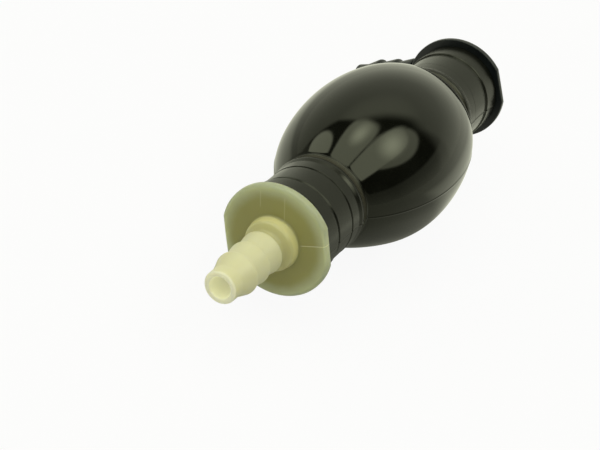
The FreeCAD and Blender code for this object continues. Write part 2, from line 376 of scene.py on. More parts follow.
@dataclass(frozen=True)
class NaturalNylon(Finish):
    """Uncoloured nylon: pale where it is thick, olive where black rubber backs it.

    Past the rubber the flange is paler. That is painted light, for the light that shines
    through it from behind. Its rim is darker, which is painted shade. The boss's side is
    lighter towards the flange, which is painted light. Each rise says where its zone takes
    over. Those of the boss, its side and the flange are places along the axis from the
    flange's face, and those of the free ring and the rim are radii. The mouth and the bore
    glow, because light comes through the thin wall there.
    """

    tail: Colour = (0.655, 0.635, 0.44)
    boss: Colour = (0.525, 0.50, 0.262)
    # Painted light: the boss's side is coloured lighter towards the flange.
    boss_side_painted_light: Colour = (0.655, 0.62, 0.325)
    backed: Colour = (0.340, 0.325, 0.128)
    # Painted light: past the rubber the flange is coloured paler, for light shining through it from behind.
    free: Colour = (0.48, 0.51, 0.34)
    # Painted shade: the flange's rim is coloured darker than the ring inside it.
    rim: Colour = (0.38, 0.41, 0.29)
    weld: Colour = (0.80, 0.79, 0.55)
    bore_glow: Colour = (0.222, 0.23, 0.17)
    mouth_glow: Colour = (0.125, 0.13, 0.15)
    face: float = 12.8 * MM
    boss_rise: Pair = (-6.2 * MM, -5.3 * MM)
    side_rise: Pair = (-3.1 * MM, -2.2 * MM)
    flange_rise: Pair = (-0.9 * MM, 0.1 * MM)
    painted_backlight_rise: Pair = (11.6 * MM, 15.2 * MM)
    painted_rim_shade_rise: Pair = (15.0 * MM, 15.9 * MM)
    cloud_shift: float = 1.6 * MM
    roughness: float = 0.36
    cloud_swing: float = 0.16
    fine_swing: float = 0.08
    mark_depth: float = 1.5
    mark_share: float = 0.7
    scatter: Triple = (2.2, 2.0, 1.3)
    scatter_scale: float = 1.8 * MM
    mouth: float = -14.6 * MM
    lip_fade: Pair = (0.1 * MM, 0.6 * MM)
    bore_fade: Pair = (7.0 * MM, 15.0 * MM)
    bore_edge: Pair = (3.0 * MM, 3.3 * MM)
    hairlines: tuple[Hairline, ...] = (
        Hairline(math.radians(31.0), aside=-0.8, start=7.5, half=0.05, soft=0.12, strength=1.0),
        Hairline(math.radians(108.1), aside=-2.95, start=6.6, end=13.0),
        Hairline(math.radians(108.1), aside=4.18, start=8.8, end=13.4),
    )

    def shade(self, bench: NodeBench) -> Sockets:
        """Gives the values and links of the shader's sockets.

        Args:
            bench: The bench that adds the nodes.

        Returns:
            What goes into each socket, by its name.
        """
        along, across, up = bench.split(bench.place())
        radius = (across * across + up * up) ** 0.5
        cloud = bench.noise(scale=160.0, detail=3.0)
        fine = bench.noise(scale=1500.0, detail=3.0)
        marks = bench.most(*(line.mark(bench, across, up) for line in self.hairlines))
        height = fine * 0.5 + cloud - marks * self.mark_depth
        zones = self._zones(bench, along, radius, cloud)
        return {
            "Base Color": bench.blend(marks * self.mark_share, zones, self.weld),
            "Roughness": self.roughness + (cloud - 0.5) * self.cloud_swing + (fine - 0.5) * self.fine_swing,
            "Normal": bench.grain(height, depth=0.03 * MM, strength=0.3),
            "IOR": 1.52,
            "Subsurface Weight": 0.8,
            "Subsurface Radius": self.scatter,
            "Subsurface Scale": self.scatter_scale,
            "Emission Color": self._glow(bench, along, radius),
            "Emission Strength": 1.0,
        }

    def _zones(self, bench: NodeBench, along: Flow, radius: Flow, cloud: Flow) -> Flow:
        """Gives the colour of the flange by its radius, and of the tail and the boss by their place, with
        painted light and painted shade in it.

        Args:
            bench: The bench that adds the nodes.
            along: The place along the axis, in metres.
            radius: The distance from the axis, in metres.
            cloud: Soft noise, which makes the borders on the flange uneven.

        Returns:
            The colour.
        """
        shifted = radius + (cloud - 0.5) * self.cloud_shift
        # Past the rubber, painted light makes the flange paler.
        flange = bench.blend(bench.rise(shifted, *self.painted_backlight_rise), self.backed, self.free)
        # At the rim, painted shade makes the flange darker.
        flange = bench.blend(bench.rise(radius, *self.painted_rim_shade_rise), flange, self.rim)
        colour: Plug = self.tail
        # The zone of the boss's side is painted light, lighter towards the flange.
        zones = ((self.boss_rise, self.boss), (self.side_rise, self.boss_side_painted_light), (self.flange_rise, flange))
        for rise, zone in zones:
            colour = bench.blend(bench.rise(along - self.face, *rise), colour, zone)
        return colour

    def _glow(self, bench: NodeBench, along: Flow, radius: Flow) -> Flow:
        """Gives the light that comes through the mouth and the wall of the bore, fading with the depth.

        Args:
            bench: The bench that adds the nodes.
            along: The place along the axis, in metres.
            radius: The distance from the axis, in metres.

        Returns:
            The colour of the light.
        """
        depth = along - self.mouth
        mouth = bench.blend(bench.rise(depth, *self.lip_fade), self.mouth_glow, DARK)
        bore = (1.0 - bench.rise(radius, *self.bore_edge)) * (1.0 - bench.rise(depth, *self.bore_fade))
        return bench.blend(bore, mouth, self.bore_glow)


@dataclass(frozen=True)
class BlackNylon(Finish):
    """Satin black moulded plastic with a cold cast and a faint bloom."""

    base: Colour = (0.004, 0.0065, 0.0085)
    bloom: Colour = (0.009, 0.012, 0.014)
    bloom_rise: Pair = (0.35, 0.7)
    roughness: float = 0.34
    cloud_swing: float = 0.14
    fine_swing: float = 0.1

    def shade(self, bench: NodeBench) -> Sockets:
        """Gives the values and links of the shader's sockets.

        Args:
            bench: The bench that adds the nodes.

        Returns:
            What goes into each socket, by its name.
        """
        cloud = bench.noise(scale=140.0, detail=3.0)
        fine = bench.noise(scale=1900.0, detail=3.0)
        return {
            "Base Color": bench.blend(bench.rise(cloud, *self.bloom_rise), self.base, self.bloom),
            "Roughness": self.roughness + (cloud - 0.5) * self.cloud_swing + (fine - 0.5) * self.fine_swing,
            "Normal": bench.grain(fine, depth=0.02 * MM, strength=0.35),
            "IOR": 1.5,
        }


@dataclass(frozen=True)
class ValveFinish(Finish):
    """The finish of a small piece in a valve: two close colours in clouds, and a fine tooth."""

    dark: Colour
    light: Colour
    cloud_scale: float
    tooth_scale: float
    roughness: float
    swing: float
    cloud_detail: float = 2.0
    tooth_depth: float = 0.01 * MM
    tooth_strength: float = 0.3
    metallic: float = 0.0
    bending: float = 1.5

    def shade(self, bench: NodeBench) -> Sockets:
        """Gives the values and links of the shader's sockets.

        Args:
            bench: The bench that adds the nodes.

        Returns:
            What goes into each socket, by its name.
        """
        cloud = bench.noise(self.cloud_scale, self.cloud_detail)
        tooth = bench.noise(self.tooth_scale, detail=2.0)
        return {
            "Base Color": bench.blend(cloud, self.dark, self.light),
            "Metallic": self.metallic,
            "Roughness": self.roughness + (tooth - 0.5) * self.swing,
            "Normal": bench.grain(tooth, self.tooth_depth, self.tooth_strength),
            "IOR": self.bending,
        }


@dataclass(frozen=True)
class WhiteAcetal(ValveFinish):
    """White acetal with a faint warm mottle."""

    dark: Colour = (0.80, 0.80, 0.76)
    light: Colour = (0.88, 0.87, 0.82)
    cloud_scale: float = 500.0
    tooth_scale: float = 3000.0
    roughness: float = 0.34
    swing: float = 0.12
    bending: float = 1.48


@dataclass(frozen=True)
class SealRubber(ValveFinish):
    """Matt black sealing rubber with a fine tooth."""

    dark: Colour = (0.012, 0.012, 0.012)
    light: Colour = (0.03, 0.03, 0.028)
    cloud_scale: float = 700.0
    cloud_detail: float = 3.0
    tooth_scale: float = 5000.0
    tooth_strength: float = 0.5
    roughness: float = 0.62
    swing: float = 0.2


@dataclass(frozen=True)
class SpringSteel(ValveFinish):
    """Drawn stainless wire, with faint scores."""

    dark: Colour = (0.52, 0.52, 0.51)
    light: Colour = (0.70, 0.70, 0.69)
    cloud_scale: float = 4000.0
    tooth_scale: float = 4000.0
    tooth_depth: float = 0.005 * MM
    roughness: float = 0.24
    swing: float = 0.2
    metallic: float = 1.0


class Slot(Enum):
    """The record's material slots, each with its finish."""

    BULB_RUBBER = "bulb_rubber"
    NATURAL_NYLON = "natural_nylon"
    BLACK_NYLON = "black_nylon"
    WHITE_ACETAL = "white_acetal"
    SEAL_RUBBER = "seal_rubber"
    SPRING_STEEL = "spring_steel"

    def material(self) -> bpy.types.Material:
        """Gives the slot's material.

        Returns:
            The material of the finish that belongs to the slot.
        """
        kinds: dict[Slot, type[Finish]] = {
            Slot.BULB_RUBBER: MouldedRubber,
            Slot.NATURAL_NYLON: NaturalNylon,
            Slot.BLACK_NYLON: BlackNylon,
            Slot.WHITE_ACETAL: WhiteAcetal,
            Slot.SEAL_RUBBER: SealRubber,
            Slot.SPRING_STEEL: SpringSteel,
        }
        return kinds[self](self.value).material()


# Surfaces


@dataclass
class Corner:
    """A corner of a profile: its place along the axis, its radius and how round it is."""

    along: float
    radius: float
    round: float = 0.0


def rounded(corners: Sequence[Corner], steps: int, straight: float = 1e-3, most: float = 0.48) -> np.ndarray:
    """Rounds the corners of an open profile.

    Each corner becomes an arc that touches both of its runs. The arc's radius is the corner's
    own, cut where a run is too short for it. Each long run gets a point near each end, so
    that its shading stays straight.

    Args:
        corners: The corners in order, in millimetres.
        steps: The number of steps in each arc.
        straight: The turn in radians under which a corner stays as it is.
        most: The most of a run that an arc may take.

    Returns:
        The profile's points, one row each, along and radius.
    """
    points = np.array([(c.along, c.radius) for c in corners])
    parts: list[np.ndarray] = [points[:1]]
    share = np.linspace(0.0, 1.0, steps + 1)[:, None]
    for before, here, after, corner in zip(points, points[1:], points[2:], corners[1:]):
        inward, outward = here - before, after - here
        lengths = np.linalg.norm(inward), np.linalg.norm(outward)
        inward, outward = inward / lengths[0], outward / lengths[1]
        turn = math.acos(float(np.clip(inward @ outward, -1.0, 1.0)))
        if corner.round <= 0.0 or turn < straight:
            parts.append(here[None])
            continue
        half = math.tan(turn / 2)
        reach = min(corner.round * half, most * min(lengths))
        first, last = here - inward * reach, here + outward * reach
        weight = np.sin(np.array([1.0 - share, share]) * turn) / math.sin(turn)
        normal = (outward - inward * math.cos(turn)) / math.sin(turn)
        centre = first + normal * (reach / half)
        spokes = (first - centre) * weight[0] + (last - centre) * weight[1]
        parts.append(centre + spokes)
    parts.append(points[-1:])
    return with_support(np.concatenate(parts))


def with_support(profile: np.ndarray, near: float = 0.12, long_run: float = 0.9) -> np.ndarray:
    """Adds a point near both ends of each long run of a profile.

    Args:
        profile: The points, along and radius, in millimetres.
        near: How far from the run's end each new point stands.
        long_run: The length from which a run is long.

    Returns:
        The profile with its new points.
    """
    step = np.diff(profile, axis=0)
    length = np.linalg.norm(step, axis=1)
    share = np.where(length > long_run, near / np.maximum(length, near), 0.0)
    starts = profile[:-1] + step * share[:, None]
    ends = profile[1:] - step * share[:, None]
    woven = np.stack([profile[:-1], starts, ends], axis=1).reshape(-1, 2)
    keep = np.stack([np.ones_like(share), share, share], axis=1).ravel() > 0.0
    return np.concatenate([woven[keep], profile[-1:]])


def refined(profile: np.ndarray, low: float, high: float, step: float, closest: float = 1e-4) -> np.ndarray:
    """Adds points to a profile between two places along it, no further apart than the step.

    Args:
        profile: The points, along and radius.
        low: The lowest place that is made finer.
        high: The highest place that is made finer.
        step: The longest distance between points there.
        closest: The distance under which two points are one.

    Returns:
        The finer profile.
    """
    run = np.concatenate([[0.0], np.cumsum(np.linalg.norm(np.diff(profile, axis=0), axis=1))])
    fine = np.arange(0.0, run[-1], step)
    place = np.interp(fine, run, profile[:, 0])
    every = np.union1d(run, fine[(place > low) & (place < high)])
    every = every[np.concatenate([[True], np.diff(every) > closest])]
    return np.stack([np.interp(every, run, column) for column in profile.T], axis=1)


def sectors(count: int, close: Sequence[float], spread: Sequence[float], clear: float = 0.35) -> np.ndarray:
    """Angles round a section, with more of them close to some places.

    Args:
        count: The number of even steps in a turn.
        close: Angles that get more lines.
        spread: How far those lines stand from each of these angles.
        clear: The share of an even step that stays free of even lines beside those.

    Returns:
        The angles in order, from 0 to a full turn, without the last.
    """
    even = np.arange(count) * TURN / count
    offsets = np.array([0.0, *spread, *(-s for s in spread)])
    extra = (np.array(close)[:, None] + offsets).ravel() % TURN
    gaps = np.abs((even[:, None] - extra + math.pi) % TURN - math.pi)
    return np.sort(np.concatenate([even[gaps.min(axis=1) > clear * TURN / count], extra]))


def placed(name: str, data: bpy.types.ID) -> bpy.types.Object:
    """Makes an object that shows the data and puts it in the scene, at the origin.

    Args:
        name: The object's name.
        data: The mesh or the camera that it shows.

    Returns:
        The new object.
    """
    thing = bpy.data.objects.new(name, data)
    bpy.context.scene.collection.objects.link(thing)
    return thing


def moulded_piece(name: str, grid: np.ndarray, slot: Slot, ring: bool) -> bpy.types.Object:
    """Puts a grid of points into a mesh object.

    Rows follow the profile and columns go round the section, which wraps. So do the rows of a
    ring, which has no seam and no pole. The points are in millimetres.

    Args:
        name: The piece's name.
        grid: Points of the surface, rows by columns by three.
        slot: The material slot that the piece takes its finish from.
        ring: Whether the last row joins the first. If not, a flat face closes each end.

    Returns:
        The new object, at the origin.
    """
    index = np.arange(grid.size // 3).reshape(grid.shape[:2])
    right, below = np.roll(index, -1, axis=1), np.roll(index, -1, axis=0)
    faces = np.stack([index, right, np.roll(right, -1, axis=0), below], axis=-1)
    faces = (faces if ring else faces[:-1]).reshape(-1, 4).tolist()
    ends = [] if ring else [index[0, ::-1].tolist(), index[-1].tolist()]
    mesh = bpy.data.meshes.new(name)
    mesh.from_pydata((grid.reshape(-1, 3) * MM).tolist(), [], faces + ends)
    mesh.validate()
    mesh.shade_smooth()
    piece = placed(name, mesh)
    mesh.materials.append(slot.material())
    LOG.info("%s: %d points, %d faces", name, index.size, len(mesh.polygons))
    return piece


# Sub-assemblies


@dataclass
class Piece:
    """A moulding that stands for one CAD node, and whose surface is a closed ring or has two ends."""

    node: str
    name: str
    slot: Slot
    body: str = "pump_body"
    ring: bool = True

    def surface(self) -> np.ndarray:
        """Gives the moulding's surface as a grid of points in millimetres."""
        raise NotImplementedError

    def build(self) -> bpy.types.Object:
        """Makes the piece, puts it on its body and takes the CAD node's place.

        Returns:
            The piece's object.
        """
        piece = moulded_piece(self.name, self.surface(), self.slot, self.ring)
        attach(piece, self.body)
        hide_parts(self.node)
        return piece


@dataclass(frozen=True)
class Swell:
    """A soft rise or, where it is below 0, a hollow in the bulb's skin, in millimetres and radians."""

    place: float
    angle: float
    amount: float
    reach: float
    spread: float

    def height(self, along: np.ndarray, angle: np.ndarray) -> np.ndarray:
        """The amount times a bell over the distance along the axis and one over the angle."""
        turn = (angle - self.angle + math.pi) % TURN - math.pi
        return self.amount * np.exp(-(((along - self.place) / self.reach) ** 2) - (turn / self.spread) ** 2)


@dataclass(frozen=True)
class Rib:
    """The ridge that keeps a barrel in its neck, with a steep front and a long back."""

    place: float = 8.0
    front: float = 0.02
    width: float = 2.6
    height: float = 0.6

    def outline(self, start: float, radius: float) -> list[Pair]:
        """The ridge's foot, top and end, along and radius, on a barrel that begins at the start."""
        foot = start + self.place
        return [(foot, radius), (foot + self.front, radius + self.height), (foot + self.width, radius)]


@dataclass
class SqueezeBulb(Piece):
    """The rubber moulding: a hollow bulb between two banded necks."""

    inlet_neck: float = 15.1
    bulb_centre: float = 71.934
    bulb_radius: float = 25.0
    bulb_half_length: float = 38.8
    bulb_wall: float = 2.8
    neck_radius: float = 13.7
    neck_length: float = 24.9
    root_radius: float = 14.2
    bore: float = 10.65
    rib: Rib = Rib()
    near_crispness: float = 0.75
    far_crispness: float = 0.15
    swells: tuple[Swell, ...] = (
        Swell(51.0, math.radians(-123.5), -1.7, 14.0, math.radians(45.0)),
        Swell(52.0, math.radians(-15.0), 0.4, 11.0, math.radians(40.0)),
        Swell(96.0, math.radians(161.0), 0.5, 12.0, math.radians(40.0)),
    )
    parting_angle: float = math.radians(-11.148)
    parting_height: float = 0.13
    parting_width: float = 0.22
    parting_spread: tuple[float, ...] = (0.003, 0.006, 0.0095, 0.014, 0.02, 0.03)
    sectors: int = 176
    arc_steps: int = 5
    skin_steps: int = 111
    chamber_steps: int = 47

    def neck_corners(self, crisp: float) -> list[Corner]:
        """Lists the bands of a neck, from its flange to the bulb's root.

        Args:
            crisp: How deep its grooves are, from 0 to 1.

        Returns:
            The corners, along from the neck's end, in millimetres.
        """
        neck = self.neck_radius
        groove, hairline = neck - 0.4 * crisp, neck - 0.2 * crisp
        return [
            Corner(0.0, self.bore),
            Corner(0.0, neck + 0.4, 0.6),
            Corner(7.25, neck + 0.4, 0.5),
            Corner(7.5, groove, 0.15),
            Corner(8.45, groove, 0.15),
            Corner(8.7, neck, 0.25),
            Corner(15.55, neck, 0.08),
            Corner(15.7, hairline, 0.05),
            Corner(15.95, hairline, 0.05),
            Corner(16.1, neck + 0.1, 0.12),
            Corner(19.6, neck + 0.12, 1.5),
            Corner(20.9, neck + 0.5, 1.1),
            Corner(22.0, neck + 0.42, 0.8),
            Corner(22.6, groove, 0.5),
            Corner(23.8, groove, 0.5),
            Corner(24.3, neck + 0.15, 0.3),
            Corner(24.7, neck + 0.2, 0.15),
            Corner(self.neck_length, self.root_radius, 0.05),
        ]

    def both_ways(self, inlet: np.ndarray, outlet: np.ndarray) -> tuple[np.ndarray, np.ndarray]:
        """Puts outlines that begin at a neck's end where the two necks are, and turns the outlet's round."""
        far_end = 2 * self.bulb_centre - self.inlet_neck
        return inlet + [self.inlet_neck, 0.0], outlet * [-1.0, 1.0] + [far_end, 0.0]

    def ellipse(self, half: float, radius: float, last: float, steps: int) -> np.ndarray:
        """Half an ellipse round the bulb's middle, from minus the last angle to the last."""
        swing = np.linspace(-last, last, steps + 1)[:, None]
        return np.hstack([self.bulb_centre + half * np.sin(swing), radius * np.cos(swing)])

    def skin(self) -> np.ndarray:
        """Draws the outline of the skin, from the inlet's end to the outlet's.

        Returns:
            The points, along and radius, in millimetres.
        """
        last = math.acos(self.root_radius / self.bulb_radius)
        bulb = self.ellipse(self.bulb_half_length, self.bulb_radius, last, self.skin_steps)
        near = rounded(self.neck_corners(self.near_crispness), self.arc_steps)
        far = rounded(self.neck_corners(self.far_crispness), self.arc_steps)
        inlet, outlet = self.both_ways(near, far[::-1])
        return np.concatenate([inlet, bulb[1:-1], outlet[:-1]])

    def passage(self) -> np.ndarray:
        """Draws the outline of the bore and the chamber, from the outlet's end back to the inlet's.

        Returns:
            The points, along and radius, in millimetres.
        """
        barrel = np.array([(0.0, self.bore), *self.rib.outline(0.0, self.bore)])
        inlet, outlet = self.both_ways(barrel[:0:-1], barrel)
        radius = self.bulb_radius - self.bulb_wall
        last = math.acos(self.bore / radius)
        chamber = self.ellipse(self.bulb_half_length - self.bulb_wall, radius, -last, self.chamber_steps)
        return np.concatenate([outlet, chamber, inlet])

    def surface(self) -> np.ndarray:
        """Turns the profile round the X axis and raises the parting line on its skin.

        The radius at each point is the profile's radius plus a narrow bell over the distance
        round the skin from the nearest of the two parting angles, plus the swells.

        Returns:
            The surface's points, rows along the profile and columns round it.
        """
        skin = self.skin()
        profile = np.concatenate([skin, self.passage()])
        lines = [self.parting_angle, self.parting_angle + math.pi]
        angle = sectors(self.sectors, lines, self.parting_spread)
        along, radius = profile[:, :1], profile[:, 1:]
        outside = np.arange(len(profile))[:, None] < len(skin)
        off = np.abs((angle - self.parting_angle + math.pi / 2) % math.pi - math.pi / 2)
        ridge = self.parting_height * np.exp(-((off * radius / self.parting_width) ** 2))
        spun = radius + outside * (ridge + sum(swell.height(along, angle) for swell in self.swells))
        return np.stack(np.broadcast_arrays(along, spun * np.cos(angle), spun * np.sin(angle)), axis=-1)


@dataclass(frozen=True)
class HoseTail:
    """The barbed tail that a hose is pushed on, the same on both fittings."""

    tip_radius: float = 4.6
    tip_length: float = 3.7
    shank_radius: float = 5.1
    bore_radius: float = 3.0
    bore_edge: float = 0.35
    bore_start: float = 0.5
    barb_radius: float = 6.0
    barb_land: float = 0.8
    barb_back: float = 0.25
    barb_ramp: float = 5.3
    first_ramp: float = 4.4
    barbs: int = 3

    def corners(self) -> list[Corner]:
        """Lists the corners of the tail's skin, from its mouth to the shank behind the last barb.

        Returns:
            The corners, by distance from the tip, in millimetres.
        """
        corners = [
            Corner(self.bore_edge, self.bore_radius),
            Corner(0.0, self.bore_radius + self.bore_edge, 0.4),
            Corner(0.0, self.tip_radius, 1.6),
            Corner(self.tip_length, self.tip_radius, 2.5),
        ]
        for barb in range(self.barbs):
            place = self.tip_length + self.first_ramp + barb * (self.barb_land + self.barb_ramp)
            corners += [
                Corner(place, self.barb_radius, 0.9),
                Corner(place + self.barb_land, self.barb_radius, 0.45),
                Corner(place + self.barb_land + self.barb_back, self.shank_radius, 0.35),
            ]
        return corners


@dataclass
class Fitting(Piece):
    """Tail, boss, flange and barrel of both fittings, as a profile that is carried along a path."""

    tail: HoseTail = HoseTail()
    rib: Rib = Rib()
    face: float = 12.8
    slant: float = math.radians(32.112)
    flange_radius: float = 16.1
    flange_thickness: float = 2.3
    flat_offset: float = 15.2
    flat_depth: float = 2.0
    flat_turn: float = 0.0
    flat_spread: float = 0.012
    boss_radius: float = 7.5
    boss_height: float = 3.4
    barrel_radius: float = 10.6
    barrel_length: float = 21.0
    pocket_radius: float = 8.0
    pocket_depth: float = 14.4
    chamber_radius: float = 5.2
    chamber_length: float = 4.0
    tail_length: float = 27.4
    knuckle: float = 0.0
    sectors: int = 120
    arc_steps: int = 6

    def face_run(self) -> float:
        """The distance along the path from the tip to the flange's face."""
        return self.tail_length

    def shank(self) -> list[Corner]:
        """Corners between the last barb and the boss."""
        return []

    def outside(self) -> np.ndarray:
        """Draws the outline of the skin, from the tail's mouth to the barrel's end.

        Returns:
            The points, by distance along the path and radius, in millimetres.
        """
        at = self.face_run()
        back = at + self.flange_thickness
        boss, rim, barrel = self.boss_radius, self.flange_radius, self.barrel_radius
        corners = self.tail.corners() + self.shank()
        return rounded([
            *corners,
            Corner(at - self.boss_height - 1.2, corners[-1].radius, 1.5),
            Corner(at - self.boss_height + 0.3, boss - 0.3, 1.5),
            Corner(at - 1.0, boss, 1.2),
            Corner(at, boss, 0.7),
            Corner(at, rim, 1.2),
            Corner(back, rim, 0.3),
            Corner(back, barrel, 0.1),
            *(Corner(*point) for point in self.rib.outline(back, barrel)),
            Corner(back + self.barrel_length, barrel),
        ], self.arc_steps)

    def inside(self) -> np.ndarray:
        """Draws the outline of the passage, from the barrel's mouth back to the tail's mouth.

        Returns:
            The points, by distance along the path and radius, in millimetres.
        """
        mouth = self.face_run() + self.flange_thickness + self.barrel_length
        floor = mouth - self.pocket_depth
        step = floor - self.chamber_length
        return np.array([
            (mouth, self.pocket_radius),
            (floor, self.pocket_radius),
            (floor, self.chamber_radius),
            (step, self.chamber_radius),
            (step, self.tail.bore_radius),
            (self.tail.bore_start, self.tail.bore_radius),
        ])

    def profile(self) -> tuple[np.ndarray, int]:
        """The closed outline, and how many of its points are on the skin."""
        skin = self.outside()
        return np.concatenate([skin, self.inside()]), len(skin)

    def flats(self, radius: np.ndarray, angle: np.ndarray) -> np.ndarray:
        """Cuts the flange's two flats.

        Past the boss the radius shrinks in proportion, so that the rim's own radius becomes
        the flat's offset over the cosine of the angle from the flat's middle.

        Args:
            radius: The radius of each point of the skin, rows by columns.
            angle: The angle of each column.

        Returns:
            The radii that leave the flats.
        """
        edge = self.flat_offset / np.maximum(np.abs(np.cos(angle - self.flat_turn)), 1e-6)
        share = np.clip(edge / self.flange_radius, None, 1.0)
        inner = self.flat_offset - self.flat_depth
        outer = np.clip((radius - inner) / (self.flange_radius - inner), 0.0, 1.0)
        return radius * (1 + outer * (share - 1))

    def angles(self) -> np.ndarray:
        """Lists the angles round the section, with more at the ends of the flats.

        Returns:
            The angles in order, in radians.
        """
        end = math.acos(self.flat_offset / self.flange_radius)
        close = [end, -end, math.pi - end, math.pi + end]
        return sectors(self.sectors, [self.flat_turn + place for place in close], [self.flat_spread])

    def hose_way(self) -> np.ndarray:
        """The direction that the elbow's tail points in."""
        return np.array([0.0, math.cos(self.slant), -math.sin(self.slant)])

    def binormal(self) -> np.ndarray:
        """The direction square to the axis and to the elbow's tail."""
        return np.array([0.0, math.sin(self.slant), math.cos(self.slant)])

    def path(self, run: np.ndarray) -> tuple[np.ndarray, np.ndarray, np.ndarray]:
        """The points, outward directions and turns at distances from the tip: here along the X axis."""
        return AHEAD * (self.face - self.tail_length + run), np.ones_like(run) * self.hose_way(), run * 0.0

    def surface(self) -> np.ndarray:
        """Carries the profile along the path.

        A point is the path's place plus the radius times the section's direction, which turns
        from outward towards the binormal. On a bend's outer side the skin swells with the sine
        of twice the turn's angle, which gives a moulded elbow its full corner.

        Returns:
            The surface's points, rows along the profile and columns round it.
        """
        profile, skin = self.profile()
        angle = self.angles()
        points, outward, turn = self.path(profile[:, :1])
        radius = np.repeat(profile[:, 1:], len(angle), axis=1)
        radius[:skin] = self.flats(radius[:skin], angle)
        full = np.sin(2 * turn[:skin]) * self.knuckle
        radius[:skin] *= 1 + full * np.clip(np.cos(angle), 0.0, None) ** 2
        spoke = outward[:, None] * np.cos(angle)[:, None] + np.sin(angle)[:, None] * self.binormal()
        return points[:, None] + radius[..., None] * spoke


@dataclass
class InletFitting(Fitting):
    """The pale fitting with a straight tail, whose flats stand a few degrees round."""

    flat_turn: float = math.radians(7.0)


@dataclass
class OutletFitting(Fitting):
    """The black fitting, whose tail leaves through an elbow."""

    face: float = 131.067
    elbow_offset: float = 9.9
    elbow_radius: float = 6.6
    bend_radius: float = 7.2
    knuckle: float = 0.45
    tail_length: float = 40.5
    skin_step: float = 0.45
    bore_step: float = 0.6

    def straight_tail(self) -> float:
        """The length of the path before the bend."""
        return self.tail_length - self.bend_radius

    def bend_length(self) -> float:
        """The length of the path's bend."""
        return self.bend_radius * math.pi / 2

    def face_run(self) -> float:
        """The distance along the path from the tip to the flange's face."""
        return self.straight_tail() + self.bend_length() + self.elbow_offset - self.bend_radius

    def shank(self) -> list[Corner]:
        """Lists the corners of the root of the tail, which is as wide as the elbow.

        Returns:
            The corners between the last barb and the boss.
        """
        tail = self.tail
        grip = tail.barbs * tail.barb_land + (tail.barbs - 1) * tail.barb_ramp
        root = tail.tip_length + tail.first_ramp + grip
        return [
            Corner(root + 0.55, tail.shank_radius, 0.2),
            Corner(root + 1.0, self.elbow_radius, 0.5),
        ]

    def profile(self) -> tuple[np.ndarray, int]:
        """Draws the closed outline, made finer on the bend.

        Returns:
            The outline's points, and how many of them are on the skin.
        """
        bend = self.straight_tail() - 1.0, self.face_run()
        skin = refined(self.outside(), *bend, self.skin_step)
        return np.concatenate([skin, refined(self.inside(), *bend, self.bore_step)]), len(skin)

    def path(self, run: np.ndarray) -> tuple[np.ndarray, np.ndarray, np.ndarray]:
        """Gives the path's points, its outward directions and how far it has turned there.

        The path is a straight run along the tail, a quarter of a circle and a straight run
        along the axis. The angle of the turn is the run past the bend's start over the bend's
        radius, held between 0 and a right angle.

        Args:
            run: Distances along the path from the tip, one row each.

        Returns:
            The points, the outward directions and the angles of the turn, one row each.
        """
        way = self.hose_way()
        past = run - self.straight_tail()
        turn = np.clip(past / self.bend_radius, 0.0, math.pi / 2)
        centre = AHEAD * (self.face + self.elbow_offset) + (way - AHEAD) * self.bend_radius
        outward = np.cos(turn) * AHEAD - np.sin(turn) * way
        before = np.clip(-past, 0.0, None) * way
        after = np.clip(past - self.bend_length(), 0.0, None) * AHEAD
        return centre + self.bend_radius * outward + before - after, outward, turn


@dataclass
class WireCoil(Piece):
    """A valve's coil of round wire at the CAD coil's length, which doesn't shorten as the poppet opens."""

    slot: Slot = Slot.SPRING_STEEL
    ring: bool = False
    joint: str = ""
    travel: float = 2.0
    radius: float = 3.1
    wire: float = 0.6
    turns: int = 3
    steps: int = 48
    sides: int = 12

    def span(self) -> Pair:
        """The places along the axis where the CAD coil starts and ends, in millimetres."""
        low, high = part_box(self.node)
        return low[0] / MM, high[0] / MM

    def surface(self) -> np.ndarray:
        """Sweeps the wire's circle along a helix, square to its path.

        The circle's centre goes round at the coil's radius and moves on by the pitch in each
        turn. A point is the centre plus the wire's radius times the cosine of its angle outward,
        and times the sine square to both that and the path.

        Returns:
            The surface's points, rows along the wire and columns round it.
        """
        start, end = self.span()
        pitch = (end - start - self.wire) / self.turns
        turn = np.linspace(0.0, self.turns, self.turns * self.steps + 1)[:, None]
        angle = TURN * turn
        outward = np.cos(angle) * [0.0, 1.0, 0.0] + np.sin(angle) * [0.0, 0.0, 1.0]
        centre = outward * self.radius + AHEAD * (start + self.wire / 2.0 + pitch * turn)
        ahead = AHEAD * pitch / (TURN * self.radius) + np.cross(AHEAD, outward)
        ahead /= np.linalg.norm(ahead, axis=-1, keepdims=True)
        aside = np.cross(ahead, outward)
        round_wire = np.linspace(0.0, TURN, self.sides, endpoint=False)[:, None]
        circle = np.cos(round_wire) * outward[:, None] + np.sin(round_wire) * aside[:, None]
        return centre[:, None] + circle * (self.wire / 2.0)

    def build(self) -> bpy.types.Object:
        """Makes the coil in the CAD coil's place and gives it a mesh of its own.

        Returns:
            The coil's object.
        """
        start, end = self.span()
        piece = super().build()
        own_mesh(piece)
        return piece


@dataclass
class CheckValve:
    """One neck's check valve: a new coil, and CAD pieces that keep their shape and get their finishes."""

    end: str
    finishes: dict[str, Slot] = field(default_factory=lambda: {
        "valve_gasket": Slot.SEAL_RUBBER,
        "valve_body": Slot.WHITE_ACETAL,
        "poppet": Slot.WHITE_ACETAL,
        "poppet_seal": Slot.SEAL_RUBBER,
        "spring_spider": Slot.WHITE_ACETAL,
    })

    def dress(self, nodes: Mapping[str, bpy.types.Object]) -> None:
        """Builds the coil and gives each CAD piece of the valve its finish.

        Args:
            nodes: The CAD pieces, by their names.
        """
        WireCoil(f"{self.end}_valve_spring", f"{self.end}_coil", joint=f"{self.end}_poppet_slide").build()
        for part, slot in self.finishes.items():
            piece = nodes[f"{self.end}_{part}"]
            piece.data.materials.clear()
            piece.data.materials.append(slot.material())
            LOG.info("%s: CAD shape with %s", piece.name, slot.value)


# Studio

TINT: Colour = (0.98, 1.0, 0.80)


